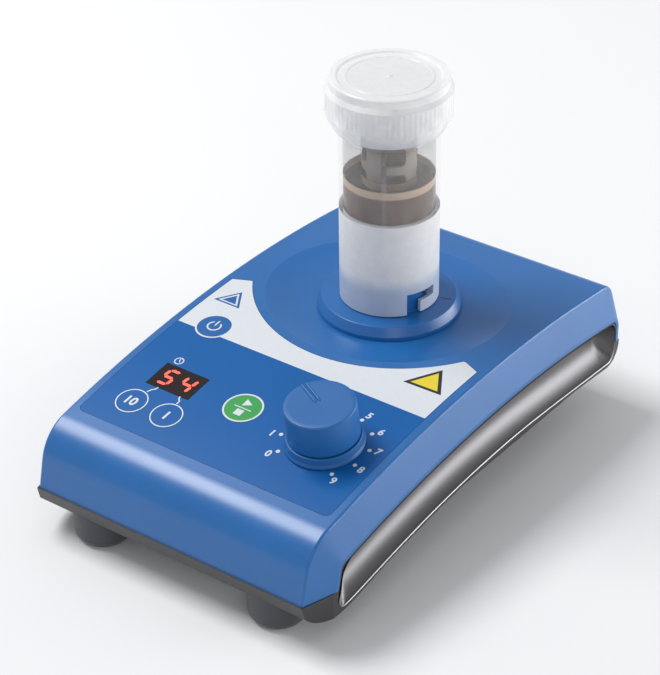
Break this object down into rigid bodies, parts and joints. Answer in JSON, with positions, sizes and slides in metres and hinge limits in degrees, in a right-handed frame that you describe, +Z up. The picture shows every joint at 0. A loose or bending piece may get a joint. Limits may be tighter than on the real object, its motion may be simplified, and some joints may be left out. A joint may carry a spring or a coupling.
{
  "type": "vortex mixer",
  "caption": "Compact motor base with an arched control panel, speed knob, timer keys and a bayonet seat that holds and drives a closed disposable mixing tube with a screw cap.",
  "frame": {"origin": "on the table, under the centre of the housing", "axes": "+Z up, control panel toward -Y, +X to the right of a person facing the panel"},
  "size_m": [0.1, 0.1552, 0.1156],
  "materials": {
    "housing_blue": "satin lacquered ABS, medium blue",
    "base_grey": "glossy graphite-grey moulded plastic",
    "foot_rubber": "matte dark grey rubber",
    "film": "printed polyester film, blue with a white band",
    "display_red": "dark red transparent window",
    "key_green": "green key",
    "key_blue": "blue key",
    "knob_blue": "satin blue knob",
    "tube_plastic": "clear polypropylene",
    "cap_plastic": "natural, slightly cloudy plastic",
    "mixer_plastic": "clear to white plastic",
    "seal_rubber": "black nitrile",
    "liner_foam": "white liner",
    "steel": "machined steel",
    "plated_steel": "zinc plated steel",
    "magnet": "sintered magnet, dark grey",
    "laminations": "stacked steel laminations",
    "copper": "enamelled copper wire",
    "bearing_steel": "polished bearing steel",
    "board_green": "glass-fibre board, green solder mask",
    "chip_black": "black moulded packages",
    "jack_black": "black moulded nylon",
    "wire_red": "insulated wire",
    "wire_grey": "flat grey cable"
  },
  "bodies": {
    "base": {"upper_housing": "housing_blue", "lower_housing": "base_grey", "foot_front_left": "foot_rubber", "foot_front_right": "foot_rubber", "foot_rear_left": "foot_rubber", "foot_rear_right": "foot_rubber", "housing_screws": "plated_steel", "panel_film": "film", "display_window": "display_red", "display_module": "chip_black", "control_board": "board_green", "key_switches": "chip_black", "speed_potentiometer": "plated_steel", "potentiometer_nut": "plated_steel", "knob_collar": "knob_blue", "bayonet_seat": "housing_blue", "bayonet_pins": "steel", "shaft_seal": "seal_rubber", "bearing_lower": "bearing_steel", "bearing_upper": "bearing_steel", "motor_can": "plated_steel", "motor_stator": "laminations", "motor_windings": "copper", "motor_bracket": "plated_steel", "motor_screws": "plated_steel", "driver_board": "board_green", "driver_screws": "plated_steel", "driver_components": "chip_black", "ballast_plate": "steel", "power_jack": "jack_black", "jack_contact": "steel", "power_leads": "wire_red", "motor_leads": "wire_red", "ribbon_cable": "wire_grey"},
    "knob": {"speed_knob": "knob_blue", "knob_shaft": "steel"},
    "key_tens": {"button_tens": "key_blue"},
    "key_ones": {"button_ones": "key_blue"},
    "key_start_stop": {"button_start_stop": "key_green"},
    "key_power": {"button_power": "key_blue"},
    "spindle": {"motor_shaft": "steel", "drive_dog": "mixer_plastic", "motor_rotor": "magnet"},
    "mixer": {"mixer_rotor": "mixer_plastic"},
    "tube": {"tube_body": "tube_plastic", "stator_cage": "mixer_plastic", "mixer_seal": "seal_rubber"},
    "liner": {"cap_liner": "liner_foam"},
    "cap": {"screw_cap": "cap_plastic"}
  },
  "joints": [
    {"name": "knob_turn", "type": "hinge", "parent": "base", "child": "knob", "pos_m": [0.0262, -0.0391, 0.03837], "axis": [0, -0.1539, 0.9881], "range_deg": [-203, 77]},
    {"name": "tens_press", "type": "slide", "parent": "base", "child": "key_tens", "axis": [0, 0.1851, -0.9827], "range_m": [0, 0.0004], "stiffness_N_per_m": 2500, "springref_m": -0.0004},
    {"name": "ones_press", "type": "slide", "parent": "base", "child": "key_ones", "axis": [0, 0.1851, -0.9827], "range_m": [0, 0.0004], "stiffness_N_per_m": 2500, "springref_m": -0.0004},
    {"name": "start_stop_press", "type": "slide", "parent": "base", "child": "key_start_stop", "axis": [0, 0.1537, -0.9881], "range_m": [0, 0.0004], "stiffness_N_per_m": 2500, "springref_m": -0.0004},
    {"name": "power_press", "type": "slide", "parent": "base", "child": "key_power", "axis": [0, 0.0924, -0.9957], "range_m": [0, 0.0004], "stiffness_N_per_m": 2500, "springref_m": -0.0004},
    {"name": "spindle_spin", "type": "hinge", "parent": "base", "child": "spindle", "pos_m": [0, 0.0275, 0], "axis": [0, 0, 1], "continuous": true},
    {"name": "mixer_spin", "type": "hinge", "parent": "base", "child": "mixer", "pos_m": [0, 0.0275, 0], "axis": [0, 0, 1], "continuous": true},
    {"name": "tube_turn", "type": "hinge", "parent": "base", "child": "tube", "pos_m": [0, 0.0275, 0], "axis": [0, 0, 1], "range_deg": [0, 25]},
    {"name": "cap_lift", "type": "slide", "parent": "tube", "child": "liner", "axis": [0, 0, 1], "range_m": [0, 0.0061]},
    {"name": "cap_turn", "type": "hinge", "parent": "liner", "child": "cap", "pos_m": [0, 0.0275, 0], "axis": [0, 0, 1], "range_deg": [0, 720]}
  ],
  "couplings": [
    {"joint": "mixer_spin", "follows": "spindle_spin", "ratio": 1},
    {"joint": "cap_lift", "follows": "cap_turn", "m_per_rad": 0.00047746}
  ]
}
